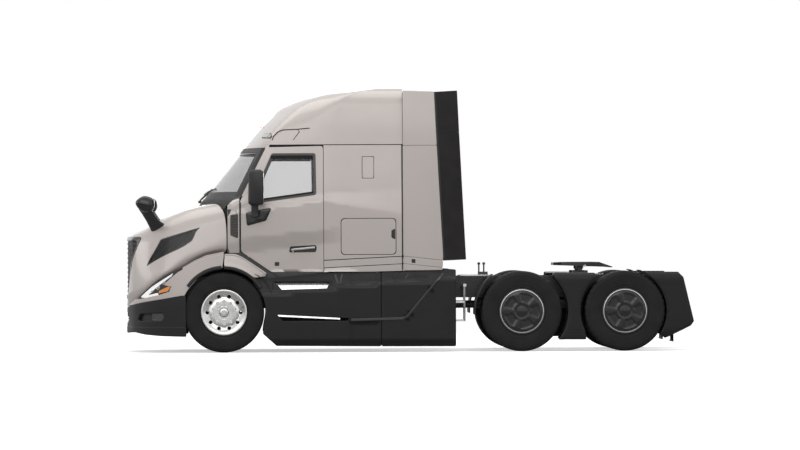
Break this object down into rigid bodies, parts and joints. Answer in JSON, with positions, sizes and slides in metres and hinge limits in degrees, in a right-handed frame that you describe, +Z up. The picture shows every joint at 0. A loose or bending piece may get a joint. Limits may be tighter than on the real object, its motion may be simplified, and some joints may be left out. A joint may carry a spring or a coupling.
{
  "type": "semi truck tractor unit",
  "caption": "Highway tractor unit with a sleeper cab, tilting hood, hinged doors, steered front wheels, twin drive wheels and a fifth wheel coupling.",
  "frame": {"origin": "on the ground under the centre of the overall box", "axes": "+X rearwards, -Y the driver's (left) side, +Z up; the truck faces -X"},
  "size_m": [7.347, 2.89, 3.435],
  "materials": {
    "champagne_paint": "metallic satin",
    "black_plastic": "satin",
    "chassis_black": "satin",
    "bright_aluminium": "polished",
    "tread_plate": "brushed",
    "tank_aluminium": "brushed",
    "dark_steel": "satin",
    "engine_grey": "painted",
    "bare_steel": "machined",
    "tyre_rubber": "matt",
    "flap_rubber": "matt",
    "window_glass": "clear",
    "lamp_lens": "gloss",
    "red_lens": "gloss",
    "cabin_plastic": "grained",
    "seat_fabric": "woven"
  },
  "bodies": {
    "chassis": {"bumper": "black_plastic", "bunk": "seat_fabric", "cab_extenders": "champagne_paint", "cab_flares": "champagne_paint", "cab_glass": "window_glass", "cab_shell": "champagne_paint", "chassis_fairings": "black_plastic", "dashboard": "cabin_plastic", "deck_plate": "tread_plate", "drive_axles": "chassis_black", "driveshafts": "dark_steel", "engine_block": "engine_grey", "extender_flaps": "flap_rubber", "fender_mids": "black_plastic", "fender_quarters": "black_plastic", "fender_tails": "black_plastic", "fifth_wheel_base": "chassis_black", "frame_crossmembers": "chassis_black", "frame_rails": "chassis_black", "frame_step": "bright_aluminium", "front_axle_beam": "chassis_black", "front_springs": "dark_steel", "fuel_tanks": "tank_aluminium", "mudflaps": "flap_rubber", "radiator": "tank_aluminium", "rear_suspension": "chassis_black", "roof_shell": "champagne_paint", "seats": "seat_fabric", "side_boxes": "dark_steel", "steering_wheel": "cabin_plastic", "step_treads": "tread_plate", "tail_lamps": "red_lens"},
    "hood": {"hood": "champagne_paint", "grille": "black_plastic", "headlamps": "lamp_lens", "side_intakes": "black_plastic", "hood_mirrors": "black_plastic"},
    "door_left": {"door_left": "champagne_paint", "door_glass_left": "window_glass", "door_mirror_left": "black_plastic"},
    "door_right": {"door_right": "champagne_paint", "door_glass_right": "window_glass", "door_mirror_right": "black_plastic"},
    "knuckle_left": {"knuckle_left": "dark_steel"},
    "knuckle_right": {"knuckle_right": "dark_steel"},
    "tie_rod": {"tie_rod": "bare_steel"},
    "steer_wheel_left": {"steer_wheel_left": "bright_aluminium", "steer_tyre_left": "tyre_rubber"},
    "steer_wheel_right": {"steer_wheel_right": "bright_aluminium", "steer_tyre_right": "tyre_rubber"},
    "drive_wheels_front_left": {"drive_wheels_front_left": "dark_steel", "drive_tyres_front_left": "tyre_rubber"},
    "drive_wheels_front_right": {"drive_wheels_front_right": "dark_steel", "drive_tyres_front_right": "tyre_rubber"},
    "drive_wheels_rear_left": {"drive_wheels_rear_left": "dark_steel", "drive_tyres_rear_left": "tyre_rubber"},
    "drive_wheels_rear_right": {"drive_wheels_rear_right": "dark_steel", "drive_tyres_rear_right": "tyre_rubber"},
    "fifth_wheel_plate": {"fifth_wheel_plate": "dark_steel"}
  },
  "joints": [
    {"name": "hood_tilt", "type": "hinge", "parent": "chassis", "child": "hood", "pos_m": [-3.6385, 0, 0.621], "axis": [0, -1, 0], "range_deg": [0, 70]},
    {"name": "door_left_swing", "type": "hinge", "parent": "chassis", "child": "door_left", "pos_m": [-2.1855, -1.091, 1.6], "axis": [0, 0, -1], "range_deg": [0, 70]},
    {"name": "door_right_swing", "type": "hinge", "parent": "chassis", "child": "door_right", "pos_m": [-2.1855, 1.091, 1.6], "axis": [0, 0, 1], "range_deg": [0, 70]},
    {"name": "steer_left", "type": "hinge", "parent": "chassis", "child": "knuckle_left", "pos_m": [-2.4035, -0.87, 0.519], "axis": [0, 0, 1], "range_deg": [-35, 35]},
    {"name": "steer_right", "type": "hinge", "parent": "chassis", "child": "knuckle_right", "pos_m": [-2.4035, 0.87, 0.519], "axis": [0, 0, 1], "range_deg": [-35, 35]},
    {"name": "tie_rod_pivot", "type": "hinge", "parent": "knuckle_left", "child": "tie_rod", "pos_m": [-2.2035, -0.87, 0.461], "axis": [0, 0, 1], "range_deg": [-35, 35]},
    {"name": "steer_wheel_left_spin", "type": "hinge", "parent": "knuckle_left", "child": "steer_wheel_left", "pos_m": [-2.4035, -1.035, 0.519], "axis": [0, 1, 0], "continuous": true},
    {"name": "steer_wheel_right_spin", "type": "hinge", "parent": "knuckle_right", "child": "steer_wheel_right", "pos_m": [-2.4035, 1.035, 0.519], "axis": [0, 1, 0], "continuous": true},
    {"name": "drive_wheels_front_left_spin", "type": "hinge", "parent": "chassis", "child": "drive_wheels_front_left", "pos_m": [1.4455, -0.9145, 0.519], "axis": [0, 1, 0], "continuous": true},
    {"name": "drive_wheels_front_right_spin", "type": "hinge", "parent": "chassis", "child": "drive_wheels_front_right", "pos_m": [1.4455, 0.9145, 0.519], "axis": [0, 1, 0], "continuous": true},
    {"name": "drive_wheels_rear_left_spin", "type": "hinge", "parent": "chassis", "child": "drive_wheels_rear_left", "pos_m": [2.7795, -0.9145, 0.519], "axis": [0, 1, 0], "continuous": true},
    {"name": "drive_wheels_rear_right_spin", "type": "hinge", "parent": "chassis", "child": "drive_wheels_rear_right", "pos_m": [2.7795, 0.9145, 0.519], "axis": [0, 1, 0], "continuous": true},
    {"name": "fifth_wheel_tilt", "type": "hinge", "parent": "chassis", "child": "fifth_wheel_plate", "pos_m": [2.2505, 0, 1.06], "axis": [0, 1, 0], "range_deg": [-10, 10]}
  ],
  "couplings": [
    {"joint": "steer_right", "follows": "steer_left", "ratio": 1},
    {"joint": "tie_rod_pivot", "follows": "steer_left", "ratio": -1}
  ]
}
